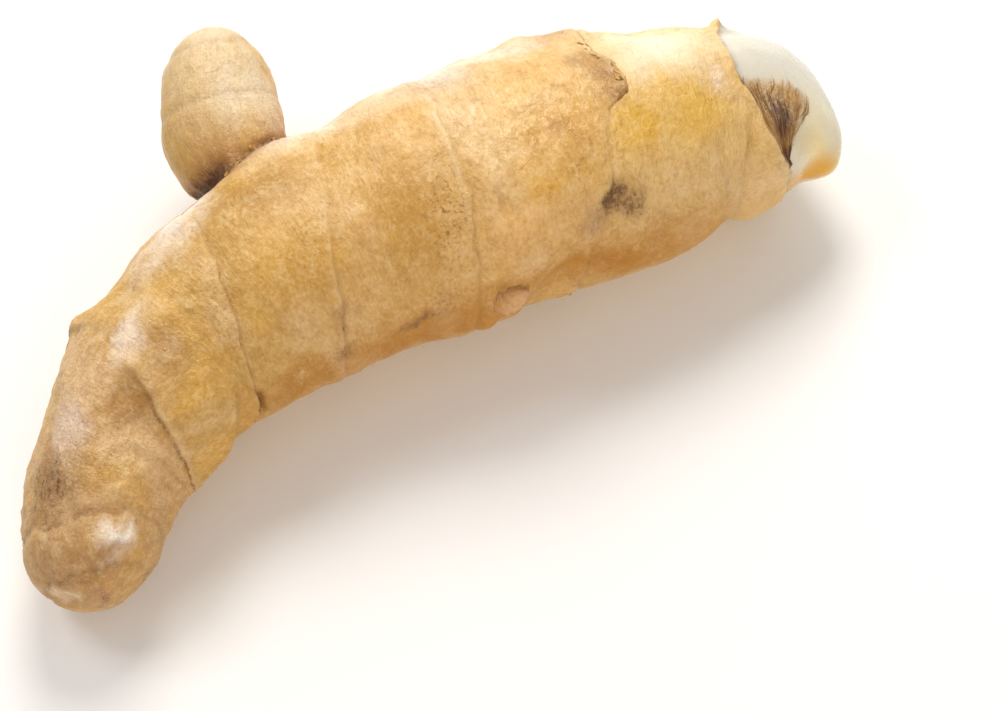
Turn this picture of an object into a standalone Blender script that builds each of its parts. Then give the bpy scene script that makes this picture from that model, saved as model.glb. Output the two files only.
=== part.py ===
"""A fresh ginger rhizome: one grown piece, lying on a table.

The thick body and the slimmer leg are one bent stem, swept along a single centre line. A round
knob and two buds grow out of it. Scale scars ring the stem, and on the right it ends in a pale
young shoot. Tables are in millimetres. +X runs along the body, +Z is up, the table is z = 0.
"""

import math

import bmesh
import bpy
from mathutils import Vector

MM = 0.001

# Centre line of the stem from the shoot end to the tip of the leg:
# x, y, height of the axis, half width across, half height
STEM = [
    (62.0, 25.1, 12.9, 5.8, 8.4),
    (59.3, 27.7, 13.3, 8.0, 10.0),
    (55.8, 29.3, 14.0, 10.8, 11.6),
    (51.2, 30.7, 14.7, 13.7, 13.1),
    (46.0, 31.7, 15.2, 15.2, 14.4),
    (39.0, 30.6, 15.6, 16.7, 15.6),
    (31.0, 27.8, 16.6, 17.8, 16.6),
    (21.4, 24.4, 17.8, 19.3, 17.2),
    (10.4, 20.2, 18.8, 20.0, 17.6),
    (-0.6, 15.8, 18.6, 19.7, 17.4),
    (-11.4, 11.2, 17.6, 18.8, 17.0),
    (-21.4, 6.2, 17.0, 18.5, 17.0),
    (-30.7, 0.2, 16.0, 17.2, 15.9),
    (-38.9, -7.0, 15.0, 15.6, 14.4),
    (-44.7, -15.4, 14.4, 14.6, 13.6),
    (-49.4, -24.2, 12.4, 12.3, 11.9),
    (-52.0, -32.7, 11.0, 10.9, 11.0),
    (-52.5, -40.4, 10.3, 10.1, 10.2),
    (-51.2, -47.7, 9.8, 9.2, 9.2),
]
SHOOT_CAP = 14.0    # length over which the shoot end rounds off
LEG_CAP = 10.0      # the same at the tip of the leg
STEM_SIDES = 48
ROW_STEP = 2.8      # distance between plain rows of the mesh
CAP_ROWS = 6

# Scale scars: distance from the shoot end, how far the ring leans, the side that leans towards the
# leg (degrees round the stem, 0 inwards, 90 up), and height, negative where the edge faces the leg
SCARS = [
    (11.5, 8.0, 137, 1.10),
    (45.4, 5.4, 322, 0.65),
    (67.6, 3.6, 296, 0.40),
    (88.6, 6.6, 326, 0.40),
    (108.8, 7.2, 314, 0.45),
    (127.0, 6.8, 320, -0.55),
    (146.6, 2.8, 214, -0.45),
    (153.0, 0.8, 163, -0.35),
]
SCAR_RISE = 2.0     # run of the slope up to a scar's edge
SCAR_EDGE = 0.35    # half the width of the edge itself
SWELL = 0.03        # how much the stretch between two scars swells

# Slow waves of the whole surface: share of the half width, radians for each mm along the stem,
# waves round it, and where each starts
LUMPS = [
    (0.016, 0.21, 2, 0.7),
    (0.012, 0.34, -3, 2.1),
    (0.010, 0.13, 4, 4.0),
]

# Bumps and dents in the skin: distance along the stem, degrees round it, reach along the stem,
# reach round it in degrees, and height, negative for a dent. The first is the fold in the crook
BUMPS = [
    (113.5, 5, 4.0, 42, -1.8),
    (134.0, 95, 9.0, 40, -0.7),
    (58.0, 236, 12.0, 45, -0.9),
    (24.0, 70, 9.0, 50, -0.5),
    (62.4, 352, 8.0, 26, 1.0),
    (45.4, 146, 4.5, 15, 1.3),
    (70.0, 135, 4.5, 14, 0.8),
    (125.8, 166, 3.4, 18, 1.5),
    (96.0, 250, 7.0, 26, 0.9),
    (50.0, 355, 11.0, 34, -2.6),
    (69.0, 344, 6.0, 26, 0.7),
    (51.5, 148, 7.0, 18, 1.8),
    (14.0, 336, 9.0, 36, 1.5),
    (25.0, 335, 6.0, 32, -1.3),
    (124.0, 14, 5.0, 36, -1.1),
    (132.0, 158, 8.0, 40, -0.8),
    (142.5, 158, 5.0, 36, 0.6),
    (119.5, 160, 5.0, 28, -1.2),
]

# The knob grows from the outside of the bend: x, y, height, half width, half height
KNOB = [
    (-25.8, 9.6, 16.5, 5.8, 6.4),
    (-31.1, 19.6, 18.4, 8.4, 8.2),
    (-34.3, 27.0, 20.2, 9.7, 9.2),
    (-35.7, 34.1, 21.6, 8.9, 8.9),
    (-36.6, 40.1, 22.8, 7.6, 7.9),
    (-37.3, 44.6, 23.6, 6.4, 6.8),
]
KNOB_CAP = 8.0
KNOB_SIDES = 24

# Buds: distance along the stem, degrees round it, half width, and how far it stands out
BUDS = [
    (62.4, 358, 2.7, 1.5),
    (77.0, 196, 3.6, 2.8),
]
BUD_SIDES = 12
BUD_ROWS = (0.0, 0.4, 0.75, 0.93)   # rows above the skin, as shares of how far it stands out
BUD_ROOT = 3.0      # how deep a bud is rooted below the skin
BUD_LEAN = 0.8      # how much a bud leans towards the shoot end

SHARP_ANGLE = 38                           # degrees: rims of the flats and edges of the scars
SKIN_COLOUR = (0.584, 0.376, 0.144, 1.0)   # linear, yellowish tan


def spline(table, place):
    """The row of a table at a fractional row number, along a Catmull-Rom curve."""
    first = min(int(place), len(table) - 2)
    share = place - first
    before = Vector(table[max(first - 1, 0)])
    start = Vector(table[first])
    end = Vector(table[first + 1])
    after = Vector(table[min(first + 2, len(table) - 1)])
    slope_in = (end - before) / 2
    slope_out = (after - start) / 2
    square, cube = share**2, share**3
    return (
        start * (2 * cube - 3 * square + 1)
        + slope_in * (cube - 2 * square + share)
        + end * (3 * square - 2 * cube)
        + slope_out * (cube - square)
    )


class Stalk:
    """A centre line with half widths, which can be asked for any distance along it."""

    STEPS = 24

    def __init__(self, table, start_cap, end_cap):
        self.table = table
        self.start_cap = start_cap
        self.end_cap = end_cap
        count = (len(table) - 1) * self.STEPS
        points = [spline(table, i / self.STEPS).to_3d() for i in range(count + 1)]
        self.lengths = [0.0]
        for a, b in zip(points, points[1:]):
            self.lengths.append(self.lengths[-1] + (b - a).length)
        self.length = self.lengths[-1]

    def place(self, distance):
        """Row number in the table of a distance along the line."""
        distance = min(max(distance, 0.0), self.length)
        low, high = 0, len(self.lengths) - 1
        while high - low > 1:
            middle = (low + high) // 2
            if self.lengths[middle] <= distance:
                low = middle
            else:
                high = middle
        span = self.lengths[high] - self.lengths[low]
        return (low + (distance - self.lengths[low]) / span) / self.STEPS

    def frame(self, distance):
        """Centre, sideways and upward directions, and the two half widths, caps included."""
        place = self.place(distance)
        step = 0.05
        last = len(self.table) - 1
        row = spline(self.table, place)
        ahead = spline(self.table, min(place + step, last)).to_3d()
        behind = spline(self.table, max(place - step, 0)).to_3d()
        along = (ahead - behind).normalized()
        side = Vector((0, 0, 1)).cross(along).normalized()
        up = along.cross(side)
        rounding = 1.0
        for cap, left in ((self.start_cap, distance), (self.end_cap, self.length - distance)):
            if cap and left < cap:
                rounding = min(rounding, math.sqrt(max(0.0, 1 - (1 - max(left, 0) / cap) ** 2)))
        return row.to_3d(), side, up, row[3] * rounding, row[4] * rounding


def fade(value, start, end):
    """0 before start, 1 after end, smooth in between."""
    share = min(max((value - start) / (end - start), 0.0), 1.0)
    return share * share * (3 - 2 * share)


def scar_profile(distance):
    """Height of the scale scars at a distance along the stem, on rows that follow their lean."""
    height = 0.0
    for place, _, _, edge in SCARS:
        gap = (distance - place) * (1 if edge > 0 else -1)
        if -SCAR_EDGE <= gap <= SCAR_RISE:
            rise = (gap + SCAR_EDGE) / (2 * SCAR_EDGE)
            fall = 1 - fade(gap, SCAR_EDGE, SCAR_RISE)
            height += abs(edge) * min(rise, fall)
    return height


def swell(distance):
    """Each stretch between two scars is a little fatter in its middle."""
    places = [scar[0] for scar in SCARS]
    for start, end in zip(places, places[1:]):
        if start <= distance <= end:
            return SWELL * math.sin(math.pi * (distance - start) / (end - start))
    return 0.0


def lean(distance, length):
    """How far a row of the mesh leans, as (inwards, upwards), so that rows run along the scars."""
    marks = [(0.0, 0.0, 0.0)]
    for place, amount, turn, _ in SCARS:
        angle = math.radians(turn)
        marks.append((place, amount * math.cos(angle), amount * math.sin(angle)))
    marks.append((length, 0.0, 0.0))
    for (a, ax, ay), (b, bx, by) in zip(marks, marks[1:]):
        if distance <= b:
            share = (distance - a) / (b - a)
            return ax + (bx - ax) * share, ay + (by - ay) * share
    return 0.0, 0.0


def lumps(distance, angle):
    """Slow unevenness of a grown surface, as a share of the half width."""
    return sum(
        share * math.sin(distance * along + around * angle + start)
        for share, along, around, start in LUMPS
    )


def bump_height(distance, angle):
    """Height of the bumps and dents at a distance along the stem and an angle round it."""
    height = 0.0
    for place, turn, reach, spread, top in BUMPS:
        off_along = (distance - place) / reach
        off_round = math.remainder(angle - math.radians(turn), 2 * math.pi) / math.radians(spread)
        off = min(math.hypot(off_along, off_round), 1.0)
        height += top * (1 - off * off) ** 2
    return height


def row_places(length, start_cap, end_cap, scars):
    """Distances along a stalk at which the mesh has a row: close at the caps and the scars."""
    count = int((length - start_cap - end_cap) / ROW_STEP) + 1
    plain = [start_cap + i * ROW_STEP for i in range(count)]
    places = []
    for scar in scars:
        way = 1 if scar[3] > 0 else -1
        places += [scar[0] + way * gap for gap in (-SCAR_EDGE, SCAR_EDGE, SCAR_RISE)]
    clear = SCAR_RISE + ROW_STEP / 3
    places += [p for p in plain if all(abs(p - scar[0]) > clear for scar in scars)]
    for i in range(1, CAP_ROWS):
        share = 1 - math.cos(math.pi / 2 * i / CAP_ROWS)
        ends = [share * start_cap] if start_cap else []
        ends.append(length - share * end_cap)
        places += [p for p in ends if all(abs(p - scar[0]) > clear for scar in scars)]
    return sorted(places)


def skin(stalk, distance, angle, relief):
    """Point of a stalk's surface at a distance along it and an angle round it."""
    if relief:
        leans = lean(distance, stalk.length)
        moved = distance + leans[0] * math.cos(angle) + leans[1] * math.sin(angle)
    else:
        moved = distance
    centre, side, up, wide, high = stalk.frame(moved)
    grow = 1 + lumps(distance, angle)
    raised = 0.0
    if relief:
        grow += swell(distance)
        raised = scar_profile(distance) + bump_height(distance, angle)
    return (
        centre
        + side * (wide * grow + raised) * math.cos(angle)
        + up * (high * grow + raised) * math.sin(angle)
    )


def sweep(name, stalk, sides, places, relief):
    """A closed mesh swept along a stalk, with a point at each end."""
    shape = bmesh.new()
    rings = []
    for distance in places:
        ring = []
        for i in range(sides):
            angle = 2 * math.pi * i / sides
            ring.append(shape.verts.new(skin(stalk, distance, angle, relief) * MM))
        rings.append(ring)
    for a, b in zip(rings, rings[1:]):
        for i in range(sides):
            j = (i + 1) % sides
            shape.faces.new((a[i], a[j], b[j], b[i]))
    for ring, distance in ((rings[0], 0.0), (rings[-1], stalk.length)):
        tip = shape.verts.new(stalk.frame(distance)[0] * MM)
        for i in range(sides):
            shape.faces.new((ring[i], ring[(i + 1) % sides], tip))
    bmesh.ops.recalc_face_normals(shape, faces=shape.faces)
    mesh = bpy.data.meshes.new(name)
    shape.to_mesh(mesh)
    shape.free()
    made = bpy.data.objects.new(name, mesh)
    bpy.context.scene.collection.objects.link(made)
    return made


def bud_stalk(stem, distance, turn, half_width, out):
    """A small domed stalk that stands out of the stem's skin and leans towards the shoot end.

    Its rows are a little narrower at the root and towards the top.
    """
    angle = math.radians(turn)
    foot = skin(stem, distance, angle, True)
    outward = (foot - stem.frame(distance)[0]).normalized()
    ahead = (stem.frame(distance - 1)[0] - stem.frame(distance)[0]).normalized()
    along = (outward + ahead * BUD_LEAN).normalized()
    rows = ((-BUD_ROOT, 0.95), (0.0, 1.0), (out * 0.6, 0.95), (out, 0.85))
    table = []
    for height, share in rows:
        point = foot + (outward if height < 0 else along) * height
        table.append((*point, half_width * share, half_width * share))
    return Stalk(table, 0.0, out * 1.2)


def fuse(body, growths):
    """Joins the growths to the body in one solid and removes them."""
    group = bpy.data.collections.new("growths")
    for growth in growths:
        group.objects.link(growth)
    union = body.modifiers.new("union", "BOOLEAN")
    union.operation = "UNION"
    union.operand_type = "COLLECTION"
    union.collection = group
    union.solver = "EXACT"
    graph = bpy.context.evaluated_depsgraph_get()
    fused = bpy.data.meshes.new_from_object(body.evaluated_get(graph))
    body.modifiers.clear()
    body.data = fused
    for growth in growths:
        bpy.data.objects.remove(growth)
    bpy.data.collections.remove(group)


def set_down(body):
    """Cuts flat what dips below the table, and puts the middle of the footprint on the origin."""
    shape = bmesh.new()
    shape.from_mesh(body.data)
    bmesh.ops.bisect_plane(
        shape,
        geom=[*shape.verts, *shape.edges, *shape.faces],
        plane_co=(0, 0, 0),
        plane_no=(0, 0, -1),
        clear_outer=True,
    )
    rims = [edge for edge in shape.edges if edge.is_boundary]
    bmesh.ops.edgeloop_fill(shape, edges=rims)
    bmesh.ops.remove_doubles(shape, verts=shape.verts, dist=0.01 * MM)
    for axis in (0, 1):
        low = min(vert.co[axis] for vert in shape.verts)
        high = max(vert.co[axis] for vert in shape.verts)
        for vert in shape.verts:
            vert.co[axis] -= (low + high) / 2
    shape.to_mesh(body.data)
    shape.free()


def finish(body):
    """Smooth shading with sharp rims round the flats, and the colour of dried ginger skin."""
    body.data.shade_smooth()
    body.data.set_sharp_from_angle(angle=math.radians(SHARP_ANGLE))
    skin_material = bpy.data.materials.new("ginger skin")
    skin_material.use_nodes = True
    shader = skin_material.node_tree.nodes["Principled BSDF"]
    shader.inputs["Base Color"].default_value = SKIN_COLOUR
    shader.inputs["Roughness"].default_value = 0.5
    shader.inputs["Metallic"].default_value = 0.0
    body.data.materials.clear()
    body.data.materials.append(skin_material)


def main():
    for old in list(bpy.data.objects):
        bpy.data.objects.remove(old)
    stem = Stalk(STEM, SHOOT_CAP, LEG_CAP)
    places = row_places(stem.length, SHOOT_CAP, LEG_CAP, SCARS)
    rhizome = sweep("rhizome", stem, STEM_SIDES, places, True)
    knob = Stalk(KNOB, 0.0, KNOB_CAP)
    growths = [sweep("knob", knob, KNOB_SIDES, row_places(knob.length, 0.0, KNOB_CAP, []), False)]
    for distance, turn, half_width, out in BUDS:
        bud = bud_stalk(stem, distance, turn, half_width, out)
        rows = [0.0] + [BUD_ROOT + out * share for share in BUD_ROWS]
        growths.append(sweep("bud", bud, BUD_SIDES, rows, False))
    fuse(rhizome, growths)
    set_down(rhizome)
    finish(rhizome)


main()
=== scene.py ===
import math

import bpy
import numpy as np
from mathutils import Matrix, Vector, kdtree, noise


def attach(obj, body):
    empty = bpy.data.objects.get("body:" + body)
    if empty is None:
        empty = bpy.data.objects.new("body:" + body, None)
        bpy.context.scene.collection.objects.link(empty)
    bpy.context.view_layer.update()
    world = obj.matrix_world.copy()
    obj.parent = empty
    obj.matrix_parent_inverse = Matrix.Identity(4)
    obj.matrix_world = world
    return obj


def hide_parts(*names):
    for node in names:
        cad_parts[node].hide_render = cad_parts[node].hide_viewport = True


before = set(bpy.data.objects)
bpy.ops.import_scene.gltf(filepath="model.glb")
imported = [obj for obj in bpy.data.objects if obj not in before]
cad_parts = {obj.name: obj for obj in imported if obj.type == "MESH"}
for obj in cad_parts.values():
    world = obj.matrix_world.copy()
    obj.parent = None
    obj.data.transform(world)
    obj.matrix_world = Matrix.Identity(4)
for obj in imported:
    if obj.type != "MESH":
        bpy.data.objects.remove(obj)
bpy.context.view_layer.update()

# The camera, the floor and the light
# The piece is seen steeply from above, with the leg towards the camera. It lies on a plain pale
# floor, under a large soft light from beyond it and a weaker one from the left.
MM = 0.001
CAMERA_TARGET = Vector((8.8, -8.9, 16.0)) * MM
CAMERA_DISTANCE = 425 * MM
CAMERA_RISE = math.radians(65)
FLOOR_SIZE = 3.0
FLOOR_DROP = 0.05 * MM


def linear(code, strength=1.0):
    """An sRGB hex colour as linear red, green, blue and 1."""
    parts = [int(code[i:i + 2], 16) / 255 for i in (1, 3, 5)]
    lit = [p / 12.92 if p <= 0.04045 else ((p + 0.055) / 1.055) ** 2.4 for p in parts]
    return (*[p * strength for p in lit], 1.0)


def add_node(material, kind, settings=None, **links):
    """Adds a shader node. Settings are its own properties or input values, links its inputs.

    A node given as a link stands for its first output."""
    node = material.node_tree.nodes.new("ShaderNode" + kind)
    for name, value in (settings or {}).items():
        if hasattr(node, name):
            setattr(node, name, value)
        else:
            node.inputs[int(name[1:]) if name[0] == "#" else name].default_value = value
    for name, source in links.items():
        socket = node.inputs[int(name[1:]) if name[0] == "_" else name.replace("_", " ")]
        material.node_tree.links.new(getattr(source, "outputs", (source,))[0], socket)
    return node


def new_material(name):
    """An empty node material."""
    material = bpy.data.materials.new(name)
    material.use_nodes = True
    material.node_tree.nodes.clear()
    return material


def select_only(piece):
    """Leaves one object selected and active, and nothing else."""
    bpy.ops.object.select_all(action="DESELECT")
    piece.select_set(True)
    bpy.context.view_layer.objects.active = piece


def aim(thing, place, target):
    """Puts a camera or a light at a place, looking at a target."""
    thing.location = place
    thing.rotation_mode = "QUATERNION"
    thing.rotation_quaternion = (target - place).to_track_quat("-Z", "Y")


back = Vector((0, -math.cos(CAMERA_RISE), math.sin(CAMERA_RISE)))
bpy.ops.object.camera_add()
camera = bpy.context.object
camera.name = "camera"
camera.data.lens = 100
camera.data.sensor_width = 36
camera.data.clip_start = 0.01
aim(camera, CAMERA_TARGET + back * CAMERA_DISTANCE, CAMERA_TARGET)
bpy.context.scene.camera = camera

bpy.ops.object.select_all(action="DESELECT")
bpy.ops.mesh.primitive_plane_add(size=FLOOR_SIZE, location=(0, 0, -FLOOR_DROP))
floor = bpy.context.object
floor.name = "floor"
painted_board = new_material("matt white painted board")
surface = add_node(painted_board, "BsdfPrincipled", {
    "Base Color": linear("#f8f8f6"), "Roughness": 0.85, "Specular IOR Level": 0.2,
})
add_node(painted_board, "OutputMaterial", Surface=surface)
floor.data.materials.append(painted_board)

LIGHTS = {
    "window": ((-20, 400, 430), 280, 2.35, "#fffaf2"),
    "sky": ((40, 620, 190), 360, 0.9, "#ffffff"),
    "left": ((-340, 150, 460), 220, 0.8, "#f6f8ff"),
    "front": ((120, -380, 260), 340, 0.85, "#ffead2"),
}
for name, (place, size, watts, tint) in LIGHTS.items():
    bpy.ops.object.light_add(type="AREA")
    lamp = bpy.context.object
    lamp.name = name
    lamp.data.shape = "DISK"
    lamp.data.size = size * MM
    lamp.data.energy = watts
    lamp.data.color = linear(tint)[:3]
    aim(lamp, Vector(place) * MM, Vector((0, 0, 15)) * MM)

world = bpy.data.worlds.new("white studio")
bpy.context.scene.world = world
world.use_nodes = True
world.node_tree.nodes["Background"].inputs["Color"].default_value = linear("#fbfbff")
world.node_tree.nodes["Background"].inputs["Strength"].default_value = 0.40
bpy.context.scene.view_settings.view_transform = "Standard"

# The stem
# One grown rhizome: the thick body on the right and the slimmer leg on the left are one bent stem.
# Its corky skin is ringed by the scars of old leaf scales, whose torn edges overlap like sleeves.
# A ball is drawn out along the stem's centre line, so that its rings follow the scars.

# Centre line from the shoot end to the tip of the leg, in millimetres:
# x, y, height of the axis, half width across, half height
STEM = np.array([
    (62.0, 25.1, 12.9, 5.8, 8.4),
    (59.3, 27.7, 13.3, 8.0, 10.0),
    (55.8, 29.3, 14.0, 10.8, 11.6),
    (51.2, 30.7, 14.7, 13.7, 13.1),
    (46.0, 31.7, 15.2, 15.2, 14.4),
    (39.0, 30.6, 15.6, 16.7, 15.6),
    (31.0, 27.8, 16.6, 17.8, 16.6),
    (21.4, 24.4, 17.8, 19.3, 17.2),
    (10.4, 20.2, 18.8, 20.0, 17.6),
    (-0.6, 15.8, 18.6, 19.7, 17.4),
    (-11.4, 11.2, 17.6, 18.8, 17.0),
    (-21.4, 6.2, 17.0, 18.5, 17.0),
    (-30.7, 0.2, 16.0, 17.2, 15.9),
    (-38.9, -7.0, 15.0, 15.6, 14.4),
    (-44.7, -15.4, 14.4, 14.6, 13.6),
    (-49.4, -24.2, 12.4, 12.3, 11.9),
    (-52.0, -32.7, 11.0, 10.9, 11.0),
    (-52.5, -40.4, 10.3, 10.1, 10.2),
    (-51.2, -47.7, 9.8, 9.2, 9.2),
])
STEM_CAPS = (14.0, 10.0)        # length of the rounding at the shoot end and at the leg's tip
STEM_END_WIDTHS = (7, 9)        # half widths there
STEM_SIDES = 232
STEM_RINGS = 330
STEPS = 24              # points of the centre line between two rows of the table

# Scale scars: distance from the shoot end, how far the ring leans, the side that leans towards
# the leg in degrees (0 inwards, 90 up), height, negative where the edge faces the leg, how far
# the torn edge strays from its ring, and round the stem in degrees: how dark the line, how pale
# the lip, whose paleness is partly a painted highlight on the raised edge
SCARS = [
    (11.5, 8.0, 137, 0.75, 0.30, [
        (5, 0.7, 0.5), (39, 0.5, 0.6), (70, 0.4, 0.4), (95, 0.7, 0.3), (146, 0.9, 0.2),
        (180, 0.6, 0.4), (330, 0.9, 0.3)]),
    (45.4, 5.4, 322, 0.42, 0.85, [
        (0, 0.3, 0.1), (16, 0.35, 0.1), (30, 0.25, 0.1), (48, 0.35, 0.1), (65, 0.08, 0.0), (78, 0.2, 0.1),
        (90, 0.4, 0.2), (128, 0.4, 0.2), (151, 0.5, 0.2), (200, 0.5, 0.2), (280, 0.6, 0.2)]),
    (67.6, 3.6, 296, 0.30, 0.55, [
        (0, 0.35, 0.1), (45, 0.3, 0.1), (70, 0.25, 0.5), (90, 0.1, 0.8), (112, 0.2, 0.5), (130, 0.5, 0.2),
        (200, 0.4, 0.1), (290, 0.5, 0.2)]),
    (88.6, 6.6, 326, 0.30, 0.50, [
        (0, 0.5, 0.2), (30, 0.4, 0.3), (60, 0.25, 0.3), (95, 0.08, 0.1), (140, 0.3, 0.1),
        (220, 0.4, 0.2), (300, 0.5, 0.2)]),
    (108.8, 7.2, 314, 0.42, 0.45, [
        (5, 0.9, 0.2), (30, 0.4, 0.2), (60, 0.4, 0.2), (85, 0.6, 0.1), (108, 0.5, 0.1), (128, 0.1, 0.0),
        (200, 0.4, 0.2), (300, 0.6, 0.2)]),
    (127.0, 6.8, 320, -0.32, 0.35, [
        (10, 1.0, 0.5), (40, 0.8, 0.5), (70, 0.7, 0.3), (88, 0.45, 0.1), (100, 0.05, 0.0), (140, 0.1, 0.0),
        (166, 0.6, 0.2), (220, 0.5, 0.2), (300, 0.8, 0.3)]),
    (146.6, 2.8, 214, -0.12, 1.00, [
        (20, 0.1, 0.0), (40, 0.35, 0.1), (54, 0.1, 0.0), (72, 0.35, 0.0), (88, 0.6, 0.1), (102, 0.2, 0.0),
        (119, 0.6, 0.1), (200, 0.4, 0.1), (300, 0.4, 0.1)]),
    (153.0, 0.8, 163, -0.15, 0.50, [
        (34, 0.5, 0.1), (76, 0.5, 0.2), (100, 0.4, 0.2), (132, 0.8, 0.1), (220, 0.4, 0.1), (300, 0.4, 0.1)]),
]
# How two of the edges leave their rings: number of the scar, how far along the stem the rings are
# drawn with it, and at degrees round the stem, millimetres towards the leg
EDGE_SHAPES = [
    (0, 6.5, [(0, 0.4), (39, -2.6), (59, -1.7), (74, -0.6), (87, 1.8), (113, 1.3), (146, 0.2), (340, 1.6)]),
    (1, 7.0, [(78, 0.1), (84, 0.5), (91, -3.4), (97, -3.1), (106, -2.2), (118, -1.4), (130, -0.6), (142, 0)]),
]
# How a torn edge strays from its ring: waves round the stem, and their share
EDGE_WAVES = ((3, 0.5), (7, 0.35), (13, 0.3), (23, 0.22), (41, 0.1), (67, 0.04))
EDGE_WIDTH = 3.0        # how far along the stem the rings beside an edge stray with it
SWELL = 0.03            # how much the stretch between two scars swells
# Broad lumps: share of the width, waves along the stem and round it, and where they start
LUMPS = [(0.016, 0.21, 2, 0.7), (0.012, 0.34, -3, 2.1), (0.010, 0.13, 4, 4.0)]

# Bumps and dents: distance, degrees round, reach along, reach round in degrees, height
BUMPS = [
    (113.5, 5, 4.0, 42, -1.8),
    (134.0, 95, 9.0, 40, -0.7),
    (58.0, 236, 12.0, 45, -0.9),
    (24.0, 70, 9.0, 50, -0.5),
    (62.4, 352, 8.0, 26, 1.0),
    (45.4, 146, 4.5, 15, 1.3),
    (70.0, 135, 4.5, 14, 0.8),
    (125.8, 166, 3.4, 18, 1.5),
    (96.0, 250, 7.0, 26, 0.9),
    (50.0, 355, 11.0, 34, -2.6),
    (69.0, 344, 6.0, 26, 0.7),
    (51.5, 148, 7.0, 18, 1.8),
    (14.0, 336, 9.0, 36, 1.5),
    (25.0, 335, 6.0, 32, -1.3),
    (124.0, 14, 5.0, 36, -1.1),
    (132.0, 158, 8.0, 40, -0.8),
    (142.5, 158, 5.0, 36, 0.6),
    (119.5, 160, 5.0, 28, -1.2),
    (61.0, 18, 9.5, 9, -0.8),
    (65.8, 356, 2.8, 12, 0.8),
    (107.5, 6, 1.6, 22, -1.0),
    (129.6, 80, 3.2, 40, -0.75),
    (134.5, 112, 4.5, 30, 0.5),
    (143.0, 70, 4.0, 34, 0.4),
    (146.4, 112, 1.6, 26, -0.35),
    (150.8, 60, 3.4, 30, 0.8),
    (152.6, 80, 1.6, 60, -0.45),
    (146.5, 36, 3.0, 16, -0.5),
    (120.0, 96, 6.0, 26, 0.35),
    (11.8, 146, 1.8, 8, 1.5),
    (155.6, 138, 2.0, 40, -0.9),
    (122.5, 104, 5.0, 18, 0.35),
    (117.0, 62, 7.0, 30, -0.35),
]
# Torn or dried spots of the skin, rough and brown: distance, degrees round, reach along, reach
# round in degrees, and how dark
ROUGH_SPOTS = [
    (44.2, 43, 4.4, 14, 1.00),
    (42.0, 39, 4.4, 11, 0.75),
    (46.6, 37, 4.6, 12, 0.50),
    (76.6, 13, 6.0, 7, 0.85),
    (89.0, 14, 3.4, 12, 0.60),
    (88.8, 34, 2.0, 16, 0.45),
    (107.4, 6, 2.2, 16, 1.00),
    (46.5, 106, 2.0, 30, 0.32),
    (46.2, 91, 1.8, 6, 0.60),
    (53.2, 82, 3.0, 8, 0.35),
    (66.0, 132, 9.0, 14, 0.40),
    (48.5, 148, 6.0, 16, 0.50),
    (142.6, 120, 6.5, 40, 0.62),
    (147.0, 96, 3.0, 22, 0.40),
    (152.0, 128, 4.0, 26, 0.40),
    (156.8, 60, 1.6, 60, 0.45),
    (122.5, 84, 5.0, 20, 0.25),
]
# Pitted bands of the skin, in the same measures
PITTED = [
    (70.6, 60, 4.5, 48, 0.85),
    (50.5, 66, 4.0, 26, 0.45),
    (72.5, 20, 4.0, 24, 0.60),
    (91.5, 80, 5.0, 40, 0.45),
    (110.5, 66, 4.0, 40, 0.50),
    (30.0, 50, 14.0, 30, 0.20),
    (120.0, 70, 8.0, 50, 0.30),
    (138.0, 90, 9.0, 70, 0.35),
    (75.0, 230, 22.0, 70, 0.50),
    (125.0, 260, 16.0, 60, 0.50),
    (35.0, 250, 14.0, 60, 0.30),
]
# Finely crinkled and glossy places of the skin, in the same measures
CRINKLED = [
    (57.0, 96, 17.0, 46, 1.0),
    (18.5, 86, 5.0, 14, 0.8),
    (111.0, 120, 12.0, 24, 0.6),
    (150.3, 63, 2.8, 20, 1.0),
    (80.0, 122, 14.0, 20, 0.5),
    (127.0, 118, 6.0, 22, 0.6),
    (139.0, 92, 13.0, 56, 0.7),
    (118.0, 80, 12.0, 40, 0.5),
    (45.0, 250, 20.0, 50, 0.5),
    (100.0, 200, 20.0, 40, 0.5),
]
# Places where the skin is clean and its marks fade, in the same measures
CLEAN = [
    (27.0, 114, 23.0, 44, 0.75),
    (24.0, 62, 14.0, 32, 0.50),
    (14.0, 342, 12.0, 40, 0.70),
    (40.0, 0, 34.0, 28, 0.65),
    (76.0, 358, 34.0, 28, 0.65),
    (102.0, 2, 20.0, 20, 0.50),
    (80.0, 140, 30.0, 20, 0.35),
]
# Round scars where roots broke off: distance, degrees round, radius
ROOT_SCARS = [
    (29.0, 262, 1.5), (37.0, 296, 1.2), (55.0, 282, 1.6), (63.0, 250, 1.3), (73.0, 300, 1.4),
    (82.0, 268, 1.7), (96.0, 284, 1.4), (104.0, 238, 1.3), (117.0, 276, 1.5), (134.0, 255, 1.2),
    (141.0, 292, 1.1), (52.0, 214, 1.2), (92.0, 206, 1.1),
]
STRAIGHT_RADIUS = 15.0  # radius of the same stem if it were a straight round rod


def table_rows(table, place):
    """Rows of a table at fractional row numbers, along a Catmull-Rom curve."""
    first = np.minimum(place.astype(int), len(table) - 2)
    share = (place - first)[:, None]
    before, start = table[np.maximum(first - 1, 0)], table[first]
    end, after = table[first + 1], table[np.minimum(first + 2, len(table) - 1)]
    slope_in, slope_out = (end - before) / 2, (after - start) / 2
    return (
        start * (2 * share**3 - 3 * share**2 + 1)
        + slope_in * (share**3 - 2 * share**2 + share)
        + end * (3 * share**2 - 2 * share**3)
        + slope_out * (share**3 - share**2)
    )


def line_lengths(table):
    """Distance along a table's centre line of each of its points."""
    place = np.arange((len(table) - 1) * STEPS + 1) / STEPS
    gaps = np.diff(table_rows(table, place)[:, :3], axis=0)
    return np.concatenate([[0], np.cumsum(np.linalg.norm(gaps, axis=1))])


def unit(vectors):
    """The same vectors at length one."""
    return vectors / np.linalg.norm(vectors, axis=1, keepdims=True)


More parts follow.
